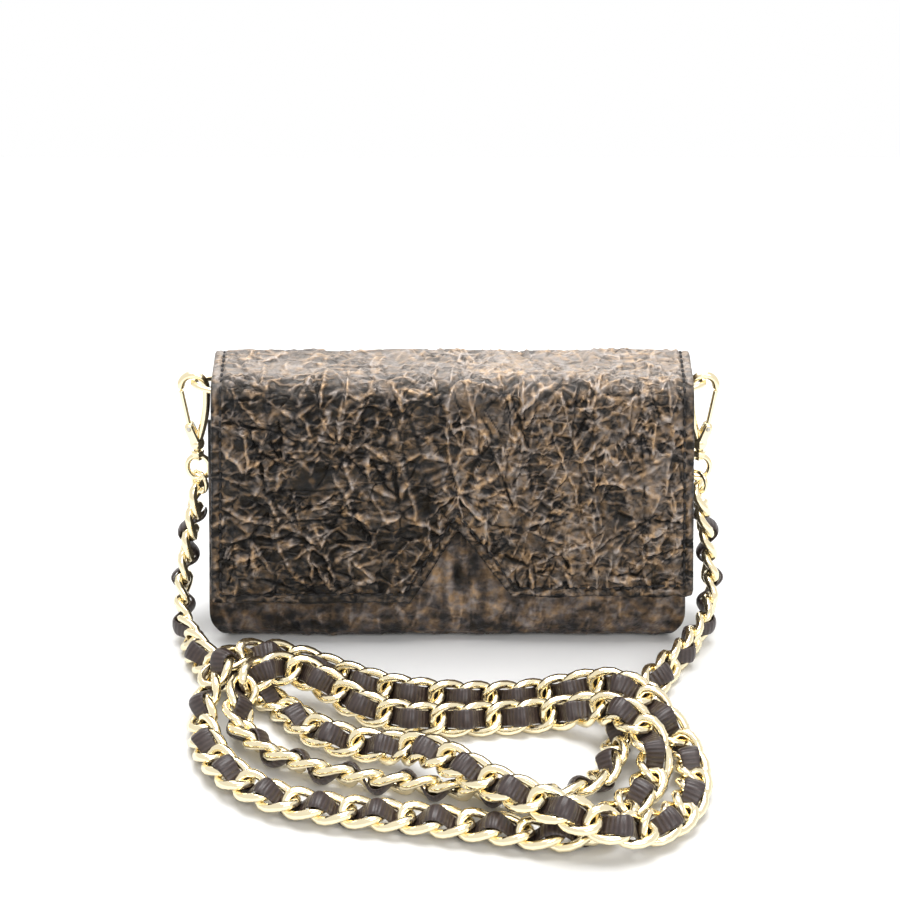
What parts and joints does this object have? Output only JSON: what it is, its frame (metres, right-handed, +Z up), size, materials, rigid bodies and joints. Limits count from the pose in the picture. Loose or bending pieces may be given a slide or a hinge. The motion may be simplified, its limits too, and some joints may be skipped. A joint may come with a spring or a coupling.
{
  "type": "leather flap bag with chain strap",
  "caption": "Small flap bag sewn from leather, with a notched flap, folded side gussets, snap hooks on D rings and a curb chain strap laced with leather, lying in loops.",
  "frame": {"origin": "middle of the bag's base, on the surface it stands on", "axes": "+Z up, -Y to the bag's front, +X to the right seen from the front"},
  "size_m": [0.1924, 0.1545, 0.0988],
  "materials": {
    "bag_leather": "crumpled leather, dark in the creases, with a worn bronze metallic sheen on the ridges",
    "dark_leather": "smooth dark brown leather",
    "lace_leather": "matte dark taupe leather strip",
    "lining": "plain woven lining",
    "gold": "polished light gold plating",
    "pin_steel": "plain steel"
  },
  "bodies": {
    "bag": {"front_panel": "bag_leather", "back_panel": "bag_leather", "body_lining": "lining", "inner_pocket": "dark_leather", "gusset_left": "dark_leather", "gusset_right": "dark_leather", "snap_base": "gold", "ring_tab_left": "bag_leather", "ring_tab_right": "bag_leather", "swivel_eye_left": "gold", "swivel_eye_right": "gold", "link_ring_left": "gold", "link_ring_right": "gold", "strap_chain": "gold", "strap_lace": "lace_leather"},
    "flap": {"flap": "bag_leather", "flap_lining": "lining", "snap_cap": "gold"},
    "d_ring_left": {"d_ring_left": "gold"},
    "d_ring_right": {"d_ring_right": "gold"},
    "hook_left": {"hook_body_left": "gold", "gate_pin_left": "pin_steel"},
    "hook_right": {"hook_body_right": "gold", "gate_pin_right": "pin_steel"},
    "gate_left": {"hook_gate_left": "gold"},
    "gate_right": {"hook_gate_right": "gold"}
  },
  "joints": [
    {"name": "flap_hinge", "type": "hinge", "parent": "bag", "child": "flap", "pos_m": [0, 0.0167, 0.095], "axis": [-1, 0, 0], "range_deg": [0, 150]},
    {"name": "d_ring_left_turn", "type": "hinge", "parent": "bag", "child": "d_ring_left", "pos_m": [-0.07657, 0, 0.0914], "axis": [0, -1, 0], "range_deg": [0, 12]},
    {"name": "d_ring_right_turn", "type": "hinge", "parent": "bag", "child": "d_ring_right", "pos_m": [0.07657, 0, 0.0914], "axis": [0, 1, 0], "range_deg": [0, 12]},
    {"name": "hook_left_swivel", "type": "hinge", "parent": "bag", "child": "hook_left", "pos_m": [-0.08477, 0, 0.0703], "axis": [0, 0, 1], "range_deg": [-20, 20]},
    {"name": "hook_right_swivel", "type": "hinge", "parent": "bag", "child": "hook_right", "pos_m": [0.08557, 0, 0.0703], "axis": [0, 0, 1], "range_deg": [-20, 20]},
    {"name": "gate_left_pivot", "type": "hinge", "parent": "hook_left", "child": "gate_left", "pos_m": [-0.08696, 0, 0.0761], "axis": [0, 1, 0], "range_deg": [0, 14], "stiffness_Nm_per_rad": 0.002},
    {"name": "gate_right_pivot", "type": "hinge", "parent": "hook_right", "child": "gate_right", "pos_m": [0.08776, 0, 0.0761], "axis": [0, -1, 0], "range_deg": [0, 14], "stiffness_Nm_per_rad": 0.002}
  ]
}
